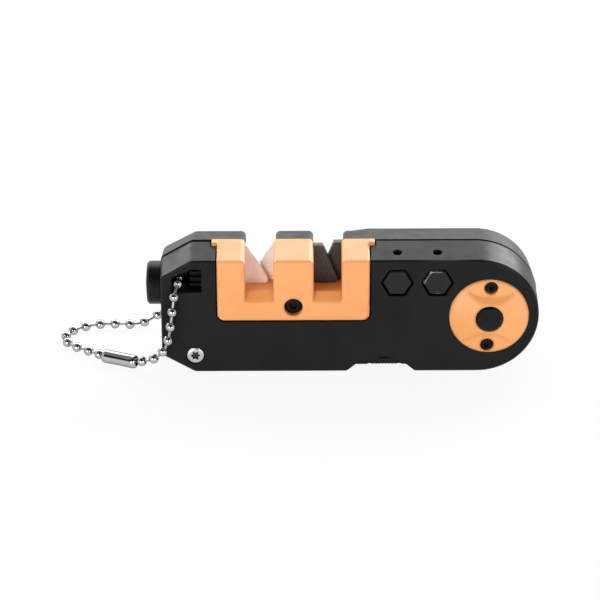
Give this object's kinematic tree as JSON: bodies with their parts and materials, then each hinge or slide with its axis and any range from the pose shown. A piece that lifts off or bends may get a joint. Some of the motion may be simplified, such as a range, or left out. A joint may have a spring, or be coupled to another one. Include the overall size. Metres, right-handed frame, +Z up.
{
  "type": "knife sharpener",
  "caption": "Pocket knife sharpener: black handle with an orange insert for crossed ceramic and carbide plates, a fold-out diamond rod, stored bits, a whistle and a ball chain.",
  "frame": {"origin": "on the surface that the handle stands on, below the middle of its length and on the plane where the two shells meet, within the tolerance of the claim", "axes": "+X along the handle from the whistle to the round end, +Y from the front face to the rear, +Z up"},
  "size_m": [0.1221, 0.0333, 0.0325],
  "materials": {
    "shell_black": "fine texture, satin",
    "insert_orange": "smooth, satin",
    "ceramic_white": "fine grit, matt",
    "carbide_dark": "ground, satin",
    "screw_black": "black oxide",
    "screw_bright": "bright",
    "rod_diamond": "diamond grit, sparkling",
    "spring_steel": "bright",
    "bit_steel": "dark, semi-gloss",
    "magnet_nickel": "plated",
    "chain_nickel": "bright nickel plating"
  },
  "bodies": {
    "body": {"front_shell": "shell_black", "rear_shell": "shell_black", "sharpening_insert": "insert_orange", "ceramic_plate_front": "ceramic_white", "ceramic_plate_rear": "ceramic_white", "carbide_plate_front": "carbide_dark", "carbide_plate_rear": "carbide_dark", "insert_screw": "screw_black", "case_screw": "screw_bright", "whistle_mouthpiece": "shell_black", "bit_magnets": "magnet_nickel", "lock_spring": "spring_steel", "chain_beads": "chain_nickel", "chain_links": "chain_nickel", "chain_connector": "chain_nickel"},
    "rod": {"rod_arm": "shell_black", "diamond_rod": "rod_diamond", "pivot_cap": "insert_orange", "cap_screws": "screw_black"},
    "lock": {"lock_button": "shell_black"},
    "cross_bit": {"bit_phillips": "bit_steel"},
    "flat_bit": {"bit_slotted": "bit_steel"}
  },
  "joints": [
    {"name": "rod_fold", "type": "hinge", "parent": "body", "child": "rod", "pos_m": [0.03678, 0, 0.01525], "axis": [0, -1, 0], "range_deg": [0, 180]},
    {"name": "lock_press", "type": "slide", "parent": "body", "child": "lock", "axis": [0, 1, 0], "range_m": [0, 0.002], "stiffness_N_per_m": 800, "springref_m": -0.002, "deforming": ["lock_spring"]},
    {"name": "cross_bit_draw", "type": "slide", "parent": "body", "child": "cross_bit", "axis": [0, -1, 0], "range_m": [0, 0.0186]},
    {"name": "flat_bit_draw", "type": "slide", "parent": "body", "child": "flat_bit", "axis": [0, -1, 0], "range_m": [0, 0.0186]}
  ]
}
